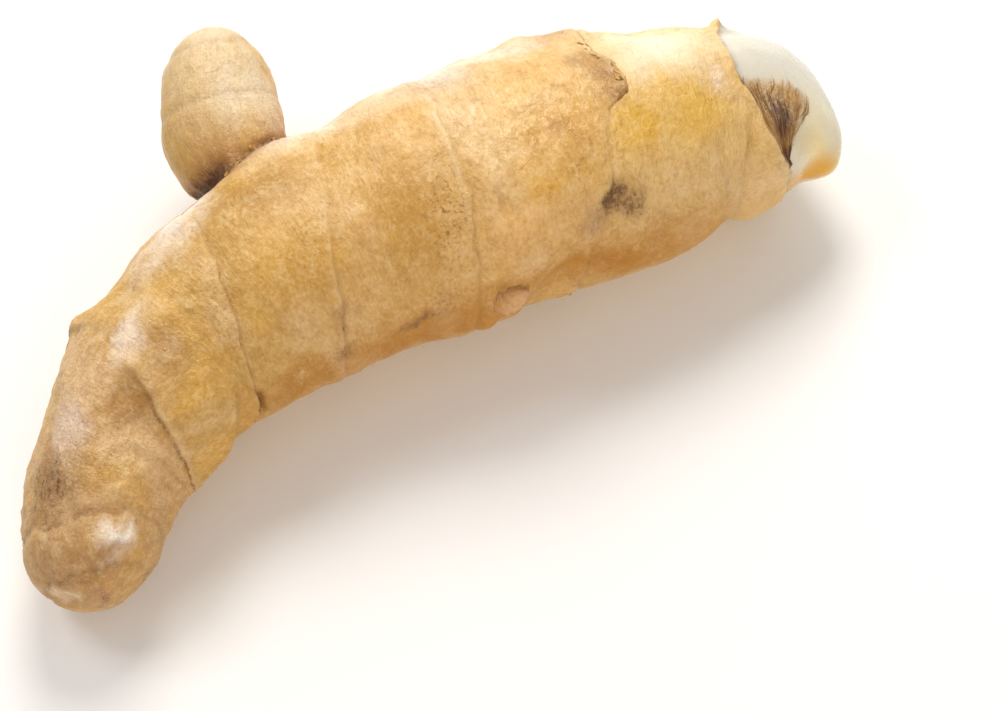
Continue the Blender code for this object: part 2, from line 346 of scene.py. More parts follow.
def stalk_surface(table, distance, angle, caps, grow, raised):
    """Points of a stalk's surface: grow widens it by a share, raised by millimetres."""
    lengths = line_lengths(table)
    place = np.interp(distance, lengths, np.arange(len(lengths)) / STEPS)
    row = table_rows(table, place)
    ahead = table_rows(table, np.minimum(place + 0.05, len(table) - 1))
    behind = table_rows(table, np.maximum(place - 0.05, 0))
    along = unit(ahead[:, :3] - behind[:, :3])
    side = unit(np.cross((0, 0, 1), along))
    up = np.cross(along, side)
    rounding = np.ones(len(distance))
    for cap, left in zip(caps, (distance, lengths[-1] - distance)):
        if cap:
            inside = np.clip(1 - left / cap, 0, 1)
            rounding = np.minimum(rounding, np.sqrt(1 - inside**2))
    raised = raised * np.minimum(rounding * 3, 1)
    wide = row[:, 3] * rounding * grow + raised
    high = row[:, 4] * rounding * grow + raised
    return row[:, :3] + side * (wide * np.cos(angle))[:, None] + up * (high * np.sin(angle))[:, None]


def fade(value, start, end):
    """0 at start, 1 at end, smooth in between."""
    share = np.clip((value - start) / (end - start), 0, 1)
    return share * share * (3 - 2 * share)


def bell(off, width):
    """1 where off is 0, falling smoothly to a third at the width and to almost nothing at twice it."""
    return np.exp(-((off / width) ** 2))


def grain(points, size, seed=0):
    """Smooth noise from -1 to 1, whose lumps have that size in millimetres, or one for each axis."""
    scaled = points / size + seed * 17.3
    return np.array([noise.noise(Vector(p)) for p in scaled])


def nearness(distance, angle, place, turn, reach, spread):
    """1 at a spot on the stem, falling to 0 at its reach along and round the stem."""
    off_round = np.angle(np.exp(1j * (angle - math.radians(turn)))) / math.radians(spread)
    off = np.minimum(np.hypot((distance - place) / reach, off_round), 1)
    return (1 - off * off) ** 2


def vectors_of(piece, kind):
    """The places ("co") or the normals ("normal") of a mesh's points, as the mesh keeps them."""
    values = np.empty(len(piece.data.vertices) * 3)
    piece.data.vertices.foreach_get(kind, values)
    return values.reshape(-1, 3)


def ball(name, segments, rings):
    """A closed ball of that many segments and rings. Returns it, with each point's ring and angle."""
    bpy.ops.object.select_all(action="DESELECT")
    bpy.ops.mesh.primitive_uv_sphere_add(segments=segments, ring_count=rings, radius=1)
    made = bpy.context.object
    made.name = name
    points = vectors_of(made, "co")
    ring = np.rint(np.arccos(np.clip(points[:, 2], -1, 1)) / math.pi * rings).astype(int)
    return made, ring, np.arctan2(points[:, 1], points[:, 0])


def set_points(piece, points):
    """Puts a mesh's points at places given in millimetres."""
    piece.data.vertices.foreach_set("co", (points * MM).ravel())
    piece.data.update()


def close_skin(piece):
    """Turns a mesh's faces outwards and shades it smooth."""
    select_only(piece)
    bpy.ops.object.mode_set(mode="EDIT")
    bpy.ops.mesh.select_all(action="SELECT")
    bpy.ops.mesh.normals_make_consistent(inside=False)
    bpy.ops.object.mode_set(mode="OBJECT")
    bpy.ops.object.shade_smooth()


def move_points(piece, points):
    """Puts a mesh's points at places given in millimetres, with its faces outwards."""
    set_points(piece, points)
    close_skin(piece)


SCAR_RINGS = 2.2        # how many times as close the rings of the mesh lie at a scar, less one
SCAR_REACH = 0.55       # and within what distance of it


def ring_distances(length, caps, widths, count, scars=()):
    """Where the rings of a mesh lie: evenly over the surface, but closer at the scars' edges."""
    fine = np.linspace(0, length, 20001)[1:-1]
    density = np.ones(len(fine))
    for cap, width, left in zip(caps, widths, (fine, length - fine)):
        if cap:
            turn = np.arccos(np.clip(1 - left / cap, -1, 0.99999))
            round_off = np.hypot(1, width / cap / np.tan(np.maximum(turn, 1e-3)))
            density = np.maximum(density, np.where(left < cap, round_off, 1))
    for scar in scars:
        density += SCAR_RINGS * bell(fine - scar[0], SCAR_REACH)
    reach = np.concatenate([[0], np.cumsum(density)])
    return np.interp(np.arange(count + 1) / count * reach[-1], reach, np.append(fine, length))


stem_length = line_lengths(STEM)[-1]
draw = np.random.default_rng(7)
wave_starts = draw.uniform(0, 2 * math.pi, (len(SCARS), len(EDGE_WAVES)))
lean_marks = np.array([(0, 0, 0)] + [
    (s[0], s[1] * math.cos(math.radians(s[2])), s[1] * math.sin(math.radians(s[2]))) for s in SCARS
] + [(stem_length, 0, 0)])


def stem_place(distance, angle):
    """Distance along the centre line of points on the leaning rings, with the edges' straying."""
    lean_in = np.interp(distance, lean_marks[:, 0], lean_marks[:, 1])
    lean_up = np.interp(distance, lean_marks[:, 0], lean_marks[:, 2])
    moved = distance + lean_in * np.cos(angle) + lean_up * np.sin(angle)
    for (place, _, _, _, stray, _), starts in zip(SCARS, wave_starts):
        torn = sum(s * np.sin(w * angle + start) for (w, s), start in zip(EDGE_WAVES, starts))
        moved = moved + torn * stray * np.clip(1 - np.abs(distance - place) / EDGE_WIDTH, 0, 1)
    for number, reach, shape in EDGE_SHAPES:
        turns, offsets = zip(*shape)
        off = np.interp(np.degrees(angle), turns, offsets, period=360)
        moved = moved + off * np.clip(1 - np.abs(distance - SCARS[number][0]) / reach, 0, 1)
    return np.clip(moved, 0, stem_length)


def straightened(moved, angle, length, caps):
    """Where the points would be if the stalk were a straight round rod with round ends."""
    radius = np.full(len(moved), STRAIGHT_RADIUS)
    for cap, left in zip(caps, (moved, length - moved)):
        if cap:
            radius = np.minimum(radius, STRAIGHT_RADIUS * np.sqrt(1 - np.clip(1 - left / cap, 0, 1) ** 2))
    return np.column_stack([radius * np.cos(angle), radius * np.sin(angle), moved])


def line_and_lip(shows, angle):
    """How dark a scar's line and how pale its lip is, round the stem; the pale lip is partly a painted
    highlight.
    """
    turns, lines, lips = zip(*shows)
    degrees = np.degrees(angle)
    return np.interp(degrees, turns, lines, period=360), np.interp(degrees, turns, lips, period=360)


def stem_form(distance, angle, straight):
    """How the stem's width grows, and how its skin is raised, without the finest relief."""
    grow = np.ones(len(distance))
    for share, along, around, start in LUMPS:
        grow += share * np.sin(distance * along + around * angle + start)
    for (start, *_), (end, *_) in zip(SCARS, SCARS[1:]):
        grow += SWELL * np.sin(math.pi * np.clip((distance - start) / (end - start), 0, 1))
    raised = 0.60 * grain(straight, 12.0, 1) + 0.36 * grain(straight, 5.0, 2)
    for place, _, _, height, _, shows in SCARS:
        gap = (distance - place) * (1 if height > 0 else -1)
        line, lip = line_and_lip(shows, angle)
        lift = np.clip(0.25 + 0.75 * np.maximum(line, lip) + 0.4 * grain(straight, 5.0, place), 0.1, 1.1)
        raised += abs(height) * lift * fade(gap, -0.2, 0.2) * (1 - fade(gap, 0.3, 3.6))
        raised -= 0.16 * line * bell(gap + 0.4, 0.4)
        raised -= 0.6 * abs(height) * line * bell(gap + 0.3, 1.6)
    for *spot, top in BUMPS:
        raised += top * nearness(distance, angle, *spot)
    return grow, raised


def on_stem(distance, angle, along=0.0, above=0.0):
    """Points on the stem's skin, or that far along it and above it, at rings and angles."""
    place = stem_place(distance, angle)
    grow, raised = stem_form(distance, angle, straightened(place, angle, stem_length, STEM_CAPS))
    return stalk_surface(STEM, place + along, angle, STEM_CAPS, grow, raised + above)


def in_stem(distance, angle):
    """The points of the centre line that lie inside such points of the skin."""
    none = np.zeros(len(angle))
    return stalk_surface(STEM, stem_place(distance, angle), angle, STEM_CAPS, none, none)


def strongest(distance, angle, spots):
    """The strongest of some spots, each a place, its reach and a strength."""
    strength = np.zeros(len(distance))
    for *spot, most in spots:
        strength = np.maximum(strength, most * nearness(distance, angle, *spot))
    return strength


ring_places = ring_distances(stem_length, STEM_CAPS, STEM_END_WIDTHS, STEM_RINGS, SCARS)
rhizome, ring, stem_angle = ball("rhizome_skin", STEM_SIDES, STEM_RINGS)
stem_distance = ring_places[ring]
moved = stem_place(stem_distance, stem_angle)
straight = straightened(moved, stem_angle, stem_length, STEM_CAPS)
grow, raised = stem_form(stem_distance, stem_angle, straight)

# What the finish reads: the scars' lines and pale lips, the lips partly painted highlight, the rough,
# pitted and crinkled places, the round root scars and the young shoot
wander = grain(straight, 4.0, 11) + 0.5 * grain(straight, 1.3, 12)
wandered = stem_distance + 1.2 * wander, stem_angle + 0.07 * wander
scar_line = np.zeros(len(moved))
# The lips' paleness is partly a painted highlight on the raised edges of the scars
scar_lip_and_highlight = np.zeros(len(moved))
for place, _, _, height, _, shows in SCARS:
    gap = (stem_distance - place) * (1 if height > 0 else -1)
    line, lip = line_and_lip(shows, stem_angle)
    scar_line = np.maximum(scar_line, line * bell(gap + 0.2, 0.32))
    scar_lip_and_highlight = np.maximum(scar_lip_and_highlight, lip * bell(gap - 0.5, 0.5) * (0.7 + 0.5 * wander))
rough = strongest(*wandered, ROUGH_SPOTS)
pitted = strongest(*wandered, PITTED)
crinkled = strongest(*wandered, CRINKLED)
clean = strongest(*wandered, CLEAN)
root_hole = np.zeros(len(moved))
for place, turn, radius in ROOT_SCARS:
    off_round = np.angle(np.exp(1j * (stem_angle - math.radians(turn)))) * STRAIGHT_RADIUS
    off = np.hypot(stem_distance - place, off_round) / radius
    raised += 0.32 * bell(off - 1.0, 0.28) - 0.30 * bell(off, 0.55)
    root_hole = np.maximum(root_hole, bell(off, 0.6) + 0.45 * bell(off - 1.25, 0.2))

# The first scar is the torn edge that the young shoot comes out of. A dried scale lies over the
# shoot there: at degrees round the stem, how far it reaches from the edge
EDGE = SCARS[0][0]
SCALE_REACH = [(34, 0.0), (45, 1.0), (53, 2.2), (67, 3.9), (79, 5.3), (90, 5.9), (101, 6.0), (112, 5.4)]
SCALE_TOP = 90          # degrees round the stem at which its frayed top starts at the edge


def scale_shade(across, turn):
    """How dark the dried scale is: in the middle of its width and height, and near its point."""
    return np.maximum(bell(across - 0.52, 0.30) * bell(turn - 74, 15), 0.8 * (1 - fade(turn, 44, 66)))


young = 1 - fade(stem_distance, EDGE - 0.3, EDGE + 0.1)
beyond_edge = EDGE - stem_distance
scale_width = np.interp(np.degrees(stem_angle), *zip(*SCALE_REACH), left=0, right=0)
across = beyond_edge / np.maximum(scale_width, 0.05)
scale_top = SCALE_TOP + 16 * across
degrees = np.degrees(stem_angle) + 2.5 * grain(straight, 1.0, 21)
dried = fade(beyond_edge, -0.1, 0.1) * (1 - fade(across + 0.08 * wander, 0.85, 1.08))
dried *= (1 - fade(degrees, scale_top - 4, scale_top + 3)) * (scale_width > 0)
dried_dark = scale_shade(across, degrees)

# Fine relief: wrinkles along the rings, a fine grain, folds that deepen on the old leg, the
# crinkles, and the broken rough spots
calm = 1 - 0.9 * young
old = fade(stem_distance + 3 * wander, 112, 126)
raised += 0.06 * calm * grain(straight, np.array([5.0, 5.0, 1.6]), 3)
raised += (0.10 + 0.08 * old) * calm * grain(straight, 2.0, 4)
raised += (0.20 + 0.30 * old) * calm * (0.3 - np.abs(grain(straight, np.array([3.6, 3.6, 2.4]), 7)))
raised += 0.42 * crinkled * calm * (0.3 - np.abs(grain(straight, np.array([2.4, 2.4, 1.7]), 5)))
raised += rough * (0.30 * grain(straight, 1.2, 6) - 0.12)
stem_points = stalk_surface(STEM, moved, stem_angle, STEM_CAPS, grow, raised)
stem_points[:, 2] = np.maximum(stem_points[:, 2], 0)
move_points(rhizome, stem_points)

# The knob
# A young side branch that swells from the outside of the bend, round and smooth, with a deep
# crease of torn brown scale and painted shade round its foot. It grew with the stem, so the two are joined.
KNOB = np.array([
    (-25.8, 9.6, 16.5, 5.8, 6.4),
    (-31.1, 19.6, 18.4, 8.4, 8.2),
    (-34.3, 27.0, 20.2, 9.7, 9.2),
    (-35.7, 34.1, 21.6, 8.9, 8.9),
    (-36.6, 40.1, 22.8, 7.6, 7.9),
    (-37.3, 44.6, 23.6, 6.4, 6.8),
])
KNOB_CAPS = (0, 8.0)
KNOB_END_WIDTHS = (0, 8)
KNOB_RINGS = 86
KNOB_SIDES = 116
KNOB_SCARS = ((24.0, 0.16), (33.6, 0.14))   # faint rings: distance along it, and height
KNOB_OFFSET = 300.0     # keeps its straight rod clear of the stem's

knob, ring, knob_angle = ball("knob", KNOB_SIDES, KNOB_RINGS)
knob_length = line_lengths(KNOB)[-1]
knob_distance = ring_distances(knob_length, KNOB_CAPS, KNOB_END_WIDTHS, KNOB_RINGS)[ring]
knob_straight = straightened(knob_distance, knob_angle, knob_length, KNOB_CAPS)
knob_straight[:, 2] += KNOB_OFFSET
knob_grow = np.ones(len(ring))
for share, along, around, start in LUMPS:
    knob_grow += share * np.sin(knob_distance * along + around * knob_angle + start)
knob_raised = 0.30 * grain(knob_straight, 7.0, 1) + 0.12 * grain(knob_straight, 2.6, 2)
knob_raised += 0.22 * (0.3 - np.abs(grain(knob_straight, 3.0, 7)))
knob_line = np.zeros(len(ring))
for place, height in KNOB_SCARS:
    gap = knob_distance - place + 0.8 * np.sin(knob_angle + 1.0) + 0.5 * grain(knob_straight, 4.0, 8)
    knob_raised -= height * bell(gap, 0.7)
    knob_line = np.maximum(knob_line, 0.45 * bell(gap, 0.5))
knob_raised += 0.05 * grain(knob_straight, np.array([5.0, 5.0, 1.4]), 3)
knob_raised = np.where(ring == 0, 0, knob_raised)
knob_points = stalk_surface(KNOB, knob_distance, knob_angle, KNOB_CAPS, knob_grow, knob_raised)
move_points(knob, knob_points)

# The buds
# Small pointed buds in the leaf scars, wrapped in their own scales, one under the body's lower
# edge and one on the hidden side. They sit low in the skin and point towards the shoot end.

# Distance along the stem, degrees round it, half width, length, lift of the tip, and how far the
# bud is turned up the side, in degrees
BUDS = {
    "lower_bud": (62.8, 3, 2.9, 7.0, 0.22, 36),
    "hidden_bud": (79.5, 196, 3.0, 8.0, 0.55, -12),
}
BUD_SIDES = 44
BUD_RINGS = 40
BUD_OFFSET = 400.0      # keeps their pattern clear of the stem's
BUD_SCALES = ((0.40, 1), (0.64, -1))    # edges of their scales: share of the length, and the side
BUD_SCALE_LEAN = 0.11
BUD_SUNK = 0.34         # share of the half width that lies in the skin

bud_pieces, bud_points, bud_straight, bud_line = [], [], [], []
for name, (place, turn, half, length, tip_lift, turn_up) in BUDS.items():
    bud, ring, angle = ball(name, BUD_SIDES, BUD_RINGS)
    share = ring / BUD_RINGS
    at = np.array([place, place - 1.5]), np.full(2, math.radians(turn))
    foot = on_stem(*at)
    outward = unit(foot - in_stem(*at))[0]
    ahead = unit((foot[1] - foot[0])[None])[0]
    upward = np.cross(ahead, outward)
    upward *= math.copysign(1, upward[2])
    along = ahead * math.cos(math.radians(turn_up)) + upward * math.sin(math.radians(turn_up))
    along = unit((along + outward * tip_lift)[None])[0]
    side = np.cross(outward, along)
    above = np.cross(along, side)
    half_here = half * np.sin(math.pi * share) ** 0.55 * (1 - 0.40 * share)
    for scale_place, way in BUD_SCALES:
        gap = share - scale_place - BUD_SCALE_LEAN * way * np.cos(angle)
        half_here += 0.24 * fade(gap, -0.22, 0.0) * (1 - fade(gap, 0.0, 0.02))
    half_here = np.where((ring > 0) & (ring < BUD_RINGS), np.maximum(half_here, 0.02), 0)
    middle = foot[0] - outward * half * BUD_SUNK + along * (share - 0.3)[:, None] * length
    points = middle + side * (half_here * np.cos(angle))[:, None]
    points += above * (half_here * 0.9 * np.sin(angle))[:, None]
    move_points(bud, points)
    bud_pieces.append(bud)
    bud_points.append(points)
    bud_straight.append(points + (0, 0, BUD_OFFSET))
    bud_line.append(0.5 * bell(share - 0.42 - BUD_SCALE_LEAN * np.cos(angle), 0.03))

# The join
# The knob and the buds grew out of the stem, so all are one closed skin. What is known of each
# point is found again by its place, and the skin is drawn in and roughened where they meet.
MERGE_GAP = 0.02        # points of the joined skin closer than this, in millimetres, become one
NEW_GAP = 0.03          # and one that is further than this from its source is on the seam

source_points = np.vstack([stem_points, knob_points, *bud_points])
stem_count, knob_count = len(stem_points), len(knob_points)
bud_count = sum(len(points) for points in bud_points)


def joined(of_stem, of_knob=0.0, of_buds=0.0):
    """One array for all the source points, from an array or a number for each part of them."""
    parts = (of_stem, stem_count), (of_knob, knob_count), (of_buds, bud_count)
    return np.concatenate([np.broadcast_to(value, count) for value, count in parts])


for growth in (knob, *bud_pieces):
    select_only(rhizome)
    bpy.ops.object.modifier_add(type="BOOLEAN")
    union = rhizome.modifiers[-1]
    union.operation = "UNION"
    union.solver = "EXACT"
    union.object = growth
    bpy.ops.object.modifier_apply(modifier=union.name)
    bpy.data.objects.remove(growth)
bpy.ops.object.mode_set(mode="EDIT")
bpy.ops.mesh.select_all(action="SELECT")
bpy.ops.mesh.remove_doubles(threshold=MERGE_GAP * MM)
bpy.ops.mesh.select_all(action="DESELECT")
bpy.ops.object.mode_set(mode="OBJECT")
# A point in the middle of one edge is taken out, because it would leave a doubled sliver there
edge_ends = np.empty(len(rhizome.data.edges) * 2, dtype=np.int32)
rhizome.data.edges.foreach_get("vertices", edge_ends)
rhizome.data.vertices.foreach_set("select", np.bincount(edge_ends) == 2)
bpy.ops.object.mode_set(mode="EDIT")
bpy.ops.mesh.dissolve_verts()
bpy.ops.object.mode_set(mode="OBJECT")
bpy.ops.object.shade_smooth()


def nearest(points, others):
    """For each point the number of the nearest of the others, and its distance."""
    tree = kdtree.KDTree(len(others))
    for i, other in enumerate(others):
        tree.insert(other, i)
    tree.balance()
    found = [tree.find(point) for point in points]
    return np.array([index for _, index, _ in found]), np.array([gap for _, _, gap in found])


skin_points = vectors_of(rhizome, "co") / MM
normals = vectors_of(rhizome, "normal")
source, from_source = nearest(skin_points, source_points)
_, to_seam = nearest(skin_points, skin_points[from_source > NEW_GAP])
KNOB_FOOT = np.array((-30.0, 18.0, 18.0))   # middle of the crease round the knob
KNOB_FOOT_REACH = (14, 18)                  # how far from it the crease's torn scale fades
DEEP_SIDE = (-35.5, -31.0)                  # the crease is deepest on the side of the leg
by_knob = 1 - fade(np.linalg.norm(skin_points - KNOB_FOOT, axis=1), *KNOB_FOOT_REACH)
deep = by_knob * (1 - fade(skin_points[:, 0], *DEEP_SIDE))
crease = bell(to_seam, 1.0 + 1.3 * deep) * (0.2 + 0.2 * by_knob + 0.6 * deep)
torn_foot = bell(to_seam, 2.8) * by_knob
inward = (0.4 + 1.0 * deep) * crease - 0.5 * torn_foot * grain(skin_points, 1.4, 9)
skin_points -= normals * inward[:, None]
skin_points[:, 2] = np.maximum(skin_points[:, 2], 0)
set_points(rhizome, skin_points)

# The finish of the skin
# Ginger skin is a thin dried cork over pale wet flesh, satin, with a waxy gloss where it is young.
# It is mottled, crinkled and pitted, and browner on the old leg. The torn scale edges are dark in
# their crease and pale on their lip, where a highlight is partly painted in. Highlights along the
# body's top and on the leg, and shade along its underside, are painted into the colour as well.

# Colours along the stem, from the shoot end to the tip of the leg
SHOOT_PALE, BODY_YOUNG, BODY_TAN, BODY_OLD = "#d4cfbf", "#e2bc78", "#d8ab62", "#cda152"
LEG_TAN, LEG_BROWN = "#cfa56a", "#c39a62"
KNOB_TAN, BUD_PINK = "#d8b880", "#d2a06c"
ALONG_COLOURS = [
    (0, SHOOT_PALE), (11.4, SHOOT_PALE), (11.6, BODY_YOUNG), (44, BODY_YOUNG), (50, BODY_TAN),
    (84, BODY_TAN), (104, BODY_OLD), (124, BODY_OLD), (130, LEG_TAN), (144, LEG_TAN),
    (150, LEG_BROWN), (160, LEG_BROWN),
]
# Blushes and bleached or browner areas, with painted highlights and painted shade among them:
# distance, degrees round, reach along, reach round in degrees, how strong, and colour
TINTS = [
    (27, 74, 13, 28, 0.90, "#deb040"),
    (39.5, 74, 7, 24, 0.95, "#dcac38"),
    (30, 120, 22, 36, 0.95, "#f2e6c8"),
    # Painted glint: a pinkish-white highlight beside the first scar
    (18, 88, 5, 14, 0.7, "#f4dcc8"),
    # Painted shade with warm bounced light: the deep orange strip along the underside of the body
    (42, 2, 32, 38, 1.0, "#b87c0e"),
    (76, 358, 30, 36, 1.0, "#b67a10"),
    (98, 4, 18, 28, 0.9, "#b47a18"),
    (60, 90, 16, 44, 0.5, "#e6c68c"),
    (81, 100, 9, 30, 0.5, "#cda050"),
    (53, 82, 9, 14, 0.5, "#d49a58"),
    (46.9, 106, 3.0, 27, 1.0, "#97641c"),
    (47.5, 33, 4, 16, 0.5, "#c49a78"),
    # Painted highlights: the pale, bleached-looking band along the top of the body
    (66, 138, 22, 24, 0.7, "#f0dfc0"),
    (90, 140, 16, 20, 0.6, "#ecd8b4"),
    (112, 126, 12, 22, 0.7, "#f0dfcc"),
    (60, 42, 11, 22, 0.7, "#f0c078"),
    (56, 58, 4, 12, 0.6, "#dda838"),
    (76, 62, 8, 36, 0.7, "#c08e34"),
    (94, 62, 12, 34, 0.6, "#c69536"),
    (99, 112, 12, 24, 0.8, "#ac7c2c"),
    # Pale pinkish skin on the leg, with painted highlights
    (123, 104, 6, 18, 0.8, "#ecd2b0"),
    (136, 114, 6, 24, 0.7, "#e4c4a8"),
    # Browner crinkled skin in the fold across the leg, darkened further by painted shade
    (129.5, 80, 4, 36, 0.7, "#9a6a28"),
    (122, 80, 5, 22, 0.5, "#aa7830"),
    (135, 62, 8, 32, 0.7, "#e6c490"),
    (141, 84, 4, 22, 0.5, "#c8983a"),
    (143, 116, 6, 34, 0.6, "#a07c4c"),
    # Painted highlights on the leg: a white glint near the tip, and two paler patches
    (150.3, 63, 3.8, 24, 1.0, "#fff9ee"),
    (125.0, 104, 4.5, 15, 0.6, "#f4e4d0"),
    (136.0, 112, 4.5, 20, 0.6, "#ecd5c0"),
    # Painted highlights along the top of the body, whitest at the shoulder
    (62, 139, 17, 13, 0.5, "#faf5ec"),
    (90, 148, 14, 13, 0.5, "#fbf7f0"),
    (109, 138, 9, 13, 0.8, "#fbf5ee"),
    # Painted shade along the crease under the leg's highlight
    (153, 80, 3.0, 60, 0.6, "#9a682c"),
    (156.5, 70, 3, 60, 0.5, "#b9855a"),
    (155.6, 138, 2.4, 40, 0.7, "#ecd8b8"),
]
KNOB_TINTS = [
    (14, 60, 9, 90, 0.9, "#c08c40"),
    (15, 170, 9, 60, 0.8, "#d09c5c"),
    (20, 6, 17, 62, 1.0, "#c89a3c"),
    # Pale cream top and right side of the knob, partly a painted highlight
    (24, 124, 12, 56, 0.8, "#e8dabf"),
]
# Stains near the round ends, with painted shade under the shoot and a painted highlight on the
# knob: middle on the straight rod, reach, how strong, and colour
SHOOT_STAINS_AND_SHADE = [
    ((0.0, 0.0, 0.0), 18.0, 0.7, "#f6ebc0"),
    ((-1.0, 12.0, 6.0), 9.0, 0.8, "#f6eecc"),
    ((4.0, 9.5, 4.5), 7.5, 0.8, "#f2dc94"),
    # Golden-orange underside of the shoot: its own browning, with painted warm shade
    ((12.9, -2.0, 9.0), 9.0, 0.9, "#dca018"),
    ((9.5, 0.5, 2.5), 9.0, 1.0, "#dca41a"),
    ((4.5, 3.0, 0.8), 7.5, 1.0, "#dca41a"),
    ((0.0, 3.0, 0.3), 7.0, 0.6, "#e0ae30"),
]
KNOB_STAINS_AND_HIGHLIGHT = [
    # Pale cream top and right side of the knob, partly a painted highlight
    ((0.0, 9.0, 34.0), 12.0, 0.5, "#e8dac0"),
    ((-12.0, 2.0, 31.0), 9.0, 0.6, "#cfa04c"),
]


def store(piece, name, values, kind="FLOAT"):
    """Keeps a number, a vector or a colour for each of a piece's points, for the finish to read."""
    if kind == "FLOAT_COLOR":
        values = np.column_stack([values, np.ones(len(values))])
    field = {"FLOAT": "value", "FLOAT_VECTOR": "vector", "FLOAT_COLOR": "color"}[kind]
    layer = piece.data.attributes.new(name, kind, "POINT")
    layer.data.foreach_set(field, values.astype(np.float32).ravel())


def tinted(colours, distance, angle, tints, rod, stains_and_light):
    """The colours with the tints laid over them, and then the stains and painted light."""
    layers = [(nearness(distance, angle, *spot), strength, code) for *spot, strength, code in tints]
    for middle, reach, strength, code in stains_and_light:
        off = np.minimum(np.linalg.norm(rod - middle, axis=1) / reach, 1)
        layers.append(((1 - off * off) ** 2, strength, code))
    for near, strength, code in layers:
        colours = colours + (near * strength)[:, None] * (np.array(linear(code)[:3]) - colours)
    return colours


along_places = [place for place, _ in ALONG_COLOURS]
along_colours = np.array([linear(code)[:3] for _, code in ALONG_COLOURS])
stem_tint = np.column_stack([np.interp(stem_distance, along_places, along_colours[:, i]) for i in range(3)])
stray = wander * (1 - 0.85 * young)
strayed = stem_distance + 2.0 * stray, stem_angle + 0.12 * stray
shoot_rod = np.where(young[:, None] > 0, straight, STRAIGHT_RADIUS * 10)    # no stain off the shoot
stem_tint = tinted(stem_tint, *strayed, TINTS, shoot_rod, SHOOT_STAINS_AND_SHADE)
knob_tint = np.tile(linear(KNOB_TAN)[:3], (knob_count, 1))
knob_rod = knob_straight - (0, 0, KNOB_OFFSET)
knob_tint = tinted(knob_tint, knob_distance, knob_angle, KNOB_TINTS, knob_rod, KNOB_STAINS_AND_HIGHLIGHT)
bud_tint = np.tile(linear(BUD_PINK)[:3], (bud_count, 1))

FOOT_ORANGE = np.array(linear("#a8682a")[:3])
skin_tint = np.vstack([stem_tint, knob_tint, bud_tint])[source]
skin_tint += (torn_foot * (0.45 + 0.4 * deep))[:, None] * (FOOT_ORANGE - skin_tint)
store(rhizome, "straight", np.vstack([straight, knob_straight, *bud_straight])[source] * MM, "FLOAT_VECTOR")
store(rhizome, "tint", skin_tint, "FLOAT_COLOR")
# What else the finish reads, on the stem, the knob and the buds
FIELDS = {
    "scar_line": (scar_line, knob_line, np.concatenate(bud_line)),
    "scar_lip_and_highlight": (scar_lip_and_highlight,),
    "rough_spot": (rough,),
    "pitted": (pitted, 0.28),
    "gloss": (np.maximum(crinkled, 0.65 * young), 0.4, 1.0),
    "root_hole": (root_hole,),
    "young": (young * (1 - dried), 0.3, 0.4),
    "clean": (np.maximum(young, clean) * (1 - dried), 0.3, 0.5),
    "old": (old, 0.3),
    "dried": (dried,),
    "dried_dark": (dried_dark,),
}
fields = {name: joined(*values)[source] for name, values in FIELDS.items()}
# The crease round the knob's foot is darkened like a rough spot: torn brown scale, and painted shade in the
# crevice
fields["rough_spot"] = np.maximum(fields["rough_spot"], 1.2 * crease * by_knob)
fields["clean"] *= 1 - torn_foot
for name, values in fields.items():
    store(rhizome, name, values)

skin_cork = new_material("ginger skin, thin dried cork over pale flesh")
place = add_node(skin_cork, "Attribute", {"attribute_name": "straight"}).outputs["Vector"]
colour = add_node(skin_cork, "Attribute", {"attribute_name": "tint"}).outputs["Color"]
read = {}
for name in fields:
    read[name] = add_node(skin_cork, "Attribute", {"attribute_name": name}).outputs["Fac"]

# The noises that its marks are read from: size in millimetres, detail, roughness and distortion
noises = {}
for name, size, detail, harshness, distortion in (
    ("clouds", 10, 2.5, 0.5, 0.5),
    ("blotches", 2.6, 4.0, 0.6, 0.3),
    ("grains", 0.6, 3.0, 0.6, 0.0),
    ("pits", 0.45, 1.5, 0.5, 0.0),
    ("flecks", 0.8, 4.0, 0.75, 0.0),
    ("specks", 0.5, 2.0, 0.6, 0.0),
    ("crinkles", 1.2, 5.0, 0.6, 0.5),
):
    noises[name] = add_node(skin_cork, "TexNoise", {
        "Scale": 1000 / size, "Detail": detail, "Roughness": harshness, "Distortion": distortion,
    }, Vector=place)
mottle = add_node(skin_cork, "Math", {"operation": "ADD"}, _0=noises["blotches"], _1=noises["grains"])

# Fine broken lines along the rings, 0.5 mm wide and 2 mm long, seen only in patches
ring_way = add_node(skin_cork, "VectorMath", {
    "operation": "MULTIPLY", "#1": (1000 / 2.0, 1000 / 2.0, 1000 / 0.5),
}, _0=place)
ring_lines = add_node(skin_cork, "TexNoise", {
    "Scale": 1.0, "Detail": 3.0, "Roughness": 0.6, "Distortion": 0.6,
}, Vector=ring_way)

# A faint net of fine cracks in the cork, 1.8 mm from one to the next, plainest on the old leg
warp = add_node(skin_cork, "TexNoise", {"Scale": 1000 / 2.5, "Detail": 3.0}, Vector=place)
warped = add_node(skin_cork, "VectorMath", {
    "operation": "MULTIPLY_ADD", "#1": (3.0 * MM, 3.0 * MM, 3.0 * MM),
}, _0=warp.outputs["Color"], _2=place)
crack_gap = add_node(skin_cork, "TexVoronoi", {
    "feature": "DISTANCE_TO_EDGE", "Scale": 1000 / 1.8,
}, Vector=warped)
crack_amount = add_node(skin_cork, "Math", {
    "operation": "MULTIPLY_ADD", "#1": 0.08, "#2": 0.05,
}, _0=read["old"])

# The flecks of the rough spots thicken towards the middle
fleck_height = add_node(skin_cork, "Math", {
    "operation": "MULTIPLY_ADD", "#1": 0.38,
}, _0=read["rough_spot"], _2=noises["flecks"])

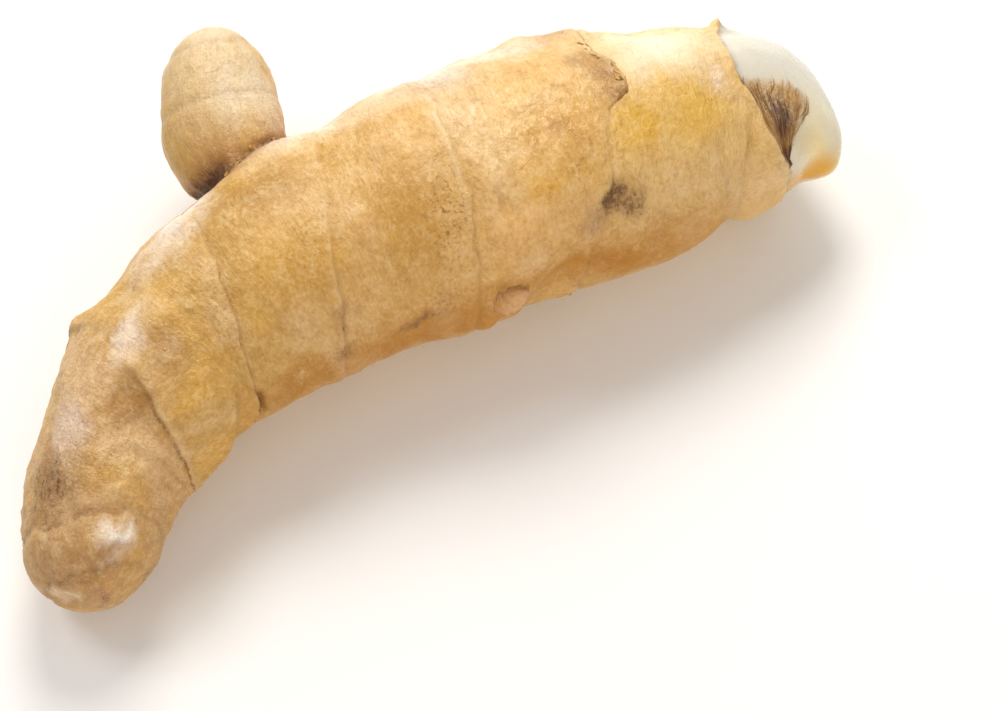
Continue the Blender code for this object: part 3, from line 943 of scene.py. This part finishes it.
# The marks, laid over the tint one after another: what each is read from, at what value it starts
# and at what it is full, how strong it is then, what that is multiplied by, and its colour
MARKS = {
    "waxy yellow clouds": (noises["clouds"], 0.52, 0.70, 0.50, None, "#d9a844"),
    "pinkish clouds": (noises["clouds"], 0.47, 0.30, 0.40, None, "#e4c294"),
    "paler mottling": (mottle, 1.0, 1.38, 0.42, None, "#f6deae"),
    "browner mottling": (mottle, 1.0, 0.68, 0.42, None, "#a06c26"),
    "lines along the rings": (ring_lines, 0.55, 0.75, 0.14, None, "#8c5c26"),
    "cracks": (crack_gap, 0.11, 0.0, 1.0, crack_amount, "#94632c"),
    "pits": (noises["pits"], 0.55, 0.70, 0.65, read["pitted"], "#7a4c1c"),
    # Pale lips of the scars, partly a painted highlight
    "pale lips and painted highlights of the scars": (read["scar_lip_and_highlight"], 0.0, 1.5, 0.9, None, "#f0dcb8"),
    "lines of the scars": (noises["grains"], 0.40, 0.60, 1.0, read["scar_line"], "#6a401a"),
    "ground of the rough spots": (read["rough_spot"], 0.0, 1.0, 0.72, None, "#8e5c26"),
    "flecks of the rough spots": (fleck_height, 0.68, 0.88, 0.8, None, "#553416"),
    "scars of the roots": (read["root_hole"], 0.0, 1.0, 1.0, None, "#5a391c"),
}
masks = {}
layered = colour
for name, (value, start, full, most, weight, code) in MARKS.items():
    mask = add_node(skin_cork, "MapRange", {"From Min": start, "From Max": full, "To Max": most}, Value=value)
    if weight is not None:
        mask = add_node(skin_cork, "Math", {"operation": "MULTIPLY"}, _0=mask, _1=weight)
    masks[name] = mask
    layer = add_node(skin_cork, "Mix", {"data_type": "RGBA", "#7": linear(code)}, _0=mask, _6=layered)
    layered = layer.outputs[2]

# Under the dried scale's fibres: golden brown, darkest in the middle, speckled every 0.5 mm
speck_height = add_node(skin_cork, "Math", {
    "operation": "MULTIPLY_ADD", "#1": 1.6,
}, _0=noises["specks"], _2=read["dried_dark"])
speck_shade = add_node(skin_cork, "MapRange", {"From Min": 0.85, "From Max": 1.75}, Value=speck_height)
scale_ground = add_node(skin_cork, "Mix", {
    "data_type": "RGBA", "#6": linear("#cda468"), "#7": linear("#5f3e30"),
}, _0=speck_shade)
dried_part = add_node(skin_cork, "Math", {"operation": "MULTIPLY", "#1": 0.85}, _0=read["dried"])
dried_skin = add_node(skin_cork, "Mix", {
    "data_type": "RGBA",
}, _0=dried_part, _6=layered, _7=scale_ground.outputs[2])

# The marks fade on the young shoot and where the skin is clean
clean_part = add_node(skin_cork, "Math", {"operation": "MULTIPLY", "#1": 0.85}, _0=read["clean"])
skin_colour = add_node(skin_cork, "Mix", {
    "data_type": "RGBA",
}, _0=clean_part, _6=dried_skin.outputs[2], _7=colour)

# Relief too fine for the mesh: a crinkle of 1.2 mm, sharp wrinkles 2.4 mm apart, and grooves for
# the lines, the pits and the cracks
wrinkles = add_node(skin_cork, "TexNoise", {
    "noise_type": "RIDGED_MULTIFRACTAL", "Scale": 1000 / 2.4, "Detail": 3.0, "Roughness": 0.5,
    "Lacunarity": 2.2, "Distortion": 0.6,
}, Vector=place)
wrinkle_strength = add_node(skin_cork, "MapRange", {"To Min": 0.25, "To Max": 1.0}, Value=read["gloss"])
relief = add_node(skin_cork, "Math", {
    "operation": "MULTIPLY_ADD",
}, _0=wrinkles, _1=wrinkle_strength, _2=noises["crinkles"])
for groove, depth in ((ring_lines, 0.5), (masks["pits"], 0.6), (masks["cracks"], 0.8)):
    relief = add_node(skin_cork, "Math", {
        "operation": "MULTIPLY_ADD", "#1": -depth,
    }, _0=groove, _2=relief)
bump_strength = add_node(skin_cork, "MapRange", {"To Min": 0.8, "To Max": 0.06}, Value=read["young"])
bump = add_node(skin_cork, "Bump", {"Distance": 0.50 * MM}, Strength=bump_strength, Height=relief)
gloss_spots = add_node(skin_cork, "Math", {
    "operation": "MULTIPLY_ADD", "#1": 0.5,
}, _0=noises["blotches"], _2=read["gloss"])
roughness = add_node(skin_cork, "MapRange", {
    "From Min": 0.15, "From Max": 0.9, "To Min": 0.48, "To Max": 0.27,
}, Value=gloss_spots)
surface = add_node(skin_cork, "BsdfPrincipled", {
    "Subsurface Weight": 0.15, "Subsurface Radius": (1.0, 0.65, 0.2), "Subsurface Scale": 2.0 * MM,
    "IOR": 1.45, "Specular IOR Level": 0.55,
}, Base_Color=skin_colour.outputs[2], Roughness=roughness, Normal=bump)
add_node(skin_cork, "OutputMaterial", Surface=surface)
rhizome.data.materials.clear()
rhizome.data.materials.append(skin_cork)
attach(rhizome, "root")
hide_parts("rhizome")

# The dried scale
# What is left of the youngest leaf scale: a felt of short dry brown fibres that fans out from one
# point of the torn edge over the pale shoot. It is held under the edge, and its top is frayed.
SCALE_FIBRES = 150
FIBRE_SIDES = 5
FIBRE_RINGS = 12
FIBRE_WIDTH = (0.05, 0.11)
FIBRE_THICK = 0.06
TIP_TURN = 33           # degrees round the stem of the point that they fan out from
LIGHT_FIBRE, BROWN_FIBRE, DARK_FIBRE = (np.array(linear(c)[:3]) for c in ("#c39a60", "#946a3c", "#5a3a2c"))


def copy_of(piece):
    """A copy of a piece with its own mesh."""
    select_only(piece)
    bpy.ops.object.duplicate()
    return bpy.context.object


def join_pieces(pieces, name):
    """Joins pieces into one closed-skinned object of that name."""
    bpy.ops.object.select_all(action="DESELECT")
    for one in pieces:
        one.select_set(True)
    bpy.context.view_layer.objects.active = pieces[0]
    bpy.ops.object.join()
    joined_piece = bpy.context.object
    joined_piece.name = name
    joined_piece.data.name = name
    close_skin(joined_piece)
    return joined_piece


one_fibre, ring, angle = ball("fibre", FIBRE_SIDES, FIBRE_RINGS)
share = ring / FIBRE_RINGS
fibres = []
for _ in range(SCALE_FIBRES):
    fibre = copy_of(one_fibre)
    across = min(max(draw.uniform(-0.04, 1.04), 0), 1)
    top = SCALE_TOP + 15 * across + draw.uniform(-3, 4)
    start = draw.uniform(0, 0.86) ** 0.8
    reach = min(draw.uniform(0.12, 0.42), 1 - start)
    sway, lift = draw.uniform(-1, 1), draw.uniform(0.0, 0.12)
    along_fibre = start + reach * share
    turn = TIP_TURN + (top - TIP_TURN) * along_fibre
    inset = across + 0.05 * sway * np.sin(math.pi * share)
    distance = EDGE + 0.1 - inset * np.interp(turn, *zip(*SCALE_REACH))
    taper = np.sqrt(np.maximum(np.sin(math.pi * share), 0)) * (1 - 0.5 * share)
    above_skin = 0.03 + lift + 0.30 * fade(share, 0.5, 1.0) * (0.5 + 0.5 * sway)
    along_skin = draw.uniform(*FIBRE_WIDTH) * taper * np.cos(angle)
    above_skin += FIBRE_THICK * taper * np.sin(angle)
    set_points(fibre, on_stem(distance, np.radians(turn), along_skin, above_skin))
    mixed = np.clip(scale_shade(across, turn) + draw.uniform(-0.35, 0.45), 0, 1)[:, None]
    colours = LIGHT_FIBRE + fade(mixed, 0, 0.5) * (BROWN_FIBRE - LIGHT_FIBRE)
    colours += fade(mixed, 0.5, 1) * (DARK_FIBRE - colours)
    store(fibre, "tint", colours, "FLOAT_COLOR")
    fibres.append(fibre)
bpy.data.objects.remove(one_fibre)
dried_scale = join_pieces(fibres, "dried_scale")

dry_fibre = new_material("dried ginger scale, brown papery fibres")
fibre_tint = add_node(dry_fibre, "Attribute", {"attribute_name": "tint"})
fibre_place = add_node(dry_fibre, "TexCoord")
# Streaks of 0.3 mm break the colour up
fibre_streaks = add_node(dry_fibre, "TexNoise", {
    "Scale": 1000 / 0.3, "Detail": 2.0,
}, Vector=fibre_place.outputs["Object"])
streak_shade = add_node(dry_fibre, "MapRange", {
    "From Min": 0.4, "From Max": 0.65, "To Max": 0.3,
}, Value=fibre_streaks)
fibre_colour = add_node(dry_fibre, "Mix", {
    "data_type": "RGBA", "#7": linear("#6e4a2c"),
}, _0=streak_shade, _6=fibre_tint.outputs["Color"])
surface = add_node(dry_fibre, "BsdfPrincipled", {
    "Roughness": 0.7, "Specular IOR Level": 0.3,
}, Base_Color=fibre_colour.outputs[2])
add_node(dry_fibre, "OutputMaterial", Surface=surface)
dried_scale.data.materials.append(dry_fibre)
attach(dried_scale, "root")

# The torn bits of old scales
# Thin curled flakes of dry scale with ragged outlines, still held along the scars and round the
# foot of the knob. They lie close to the skin and are browner than it.

# Number of the scar, from and to which degrees, how many, half their length, and how far they stray
FLAKE_RUNS = [
    (1, 86, 132, 20, 0.60, 0.9),
    (1, 170, 330, 32, 0.60, 0.6),
    (2, 170, 330, 26, 0.50, 0.6),
    (3, 170, 350, 22, 0.45, 0.6),
    (4, 200, 370, 24, 0.50, 0.6),
    (5, 160, 350, 26, 0.55, 0.6),
    (6, 120, 330, 24, 0.50, 0.6),
    (7, 125, 330, 18, 0.45, 0.6),
    (0, 170, 330, 22, 0.50, 0.4),
]
KNOB_FLAKES = 22
KNOB_FLAKE_SIZE = 0.75
FLAKE_COLOURS = ("#c79a50", "#b3823a", "#d8b070", "#9c7034")
FLAKE_SIDES = 10
FLAKE_RINGS = 4
FLAKE_THICK = 0.04
FLAKE_WAVES = ((2, 0.25), (3, 0.22), (5, 0.18))     # what makes their outlines ragged

one_flake, ring, angle = ball("flake", FLAKE_SIDES, FLAKE_RINGS)
polar = math.pi * ring / FLAKE_RINGS
flakes = []


def add_flake(foot, ahead, outward, size):
    """Adds a ragged flake on the skin at a point, from the skin's directions there."""
    flake = copy_of(one_flake)
    around = np.cross(outward, ahead)
    spin, tilt, curl = draw.uniform(-0.9, 0.9), draw.uniform(-0.10, 0.25), draw.uniform(-0.1, 0.4)
    long_way = around * math.cos(spin) + ahead * math.sin(spin)
    short_way = np.cross(outward, long_way)
    outline = np.ones(len(angle))
    for waves, most in FLAKE_WAVES:
        outline += draw.uniform(0.3, 1.0) * most * np.sin(waves * angle + draw.uniform(0, 6.28))
    reach = size * draw.uniform(0.5, 1.2)
    flat = reach * np.sin(polar) * np.maximum(outline, 0.3)
    long_part, short_part = flat * np.cos(angle), 0.6 * flat * np.sin(angle)
    high_part = FLAKE_THICK * np.cos(polar) + 0.01 + curl * 0.3 * long_part**2 / reach + tilt * short_part
    points = foot + long_part[:, None] * long_way + short_part[:, None] * short_way
    points += high_part[:, None] * outward
    points[:, 2] = np.maximum(points[:, 2], 0)
    set_points(flake, points)
    colour_here = np.array(linear(FLAKE_COLOURS[draw.integers(len(FLAKE_COLOURS))])[:3])
    colours = np.tile(colour_here * draw.uniform(0.85, 1.1), (len(points), 1))
    store(flake, "tint", colours, "FLOAT_COLOR")
    flakes.append(flake)


for number, start, end, count, size, stray in FLAKE_RUNS:
    for _ in range(count):
        turn = math.radians(draw.uniform(start, end))
        side_of = 1 if SCARS[number][3] > 0 else -1
        spot = SCARS[number][0] + side_of * (0.3 + stray * draw.uniform(-0.7, 1))
        at = np.array([spot, spot - 0.5, spot]), np.array([turn, turn, turn + 0.03])
        foot = on_stem(*at)
        ahead, around = unit(foot[1:] - foot[0])
        outward = np.cross(around, ahead)
        outward *= math.copysign(1, outward @ (foot[0] - in_stem(*at)[0]))
        add_flake(foot[0], ahead, outward, size)
by_foot = np.nonzero((to_seam < 1.2) & (by_knob > 0.5) & (skin_points[:, 0] > -35))[0]
# They are put in order, because the points of the joined skin come in another order each run
by_foot = by_foot[np.lexsort((from_source[by_foot], source[by_foot]))]
for index in draw.choice(by_foot, KNOB_FLAKES, replace=False):
    outward = normals[index]
    ahead = unit(np.cross(outward, (0.2, 1.0, 0.3))[None])[0]
    add_flake(skin_points[index] + outward * 0.1, ahead, outward, KNOB_FLAKE_SIZE)
bpy.data.objects.remove(one_flake)
scale_flakes = join_pieces(flakes, "scale_flakes")
scale_flakes.data.materials.append(dry_fibre)
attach(scale_flakes, "root")
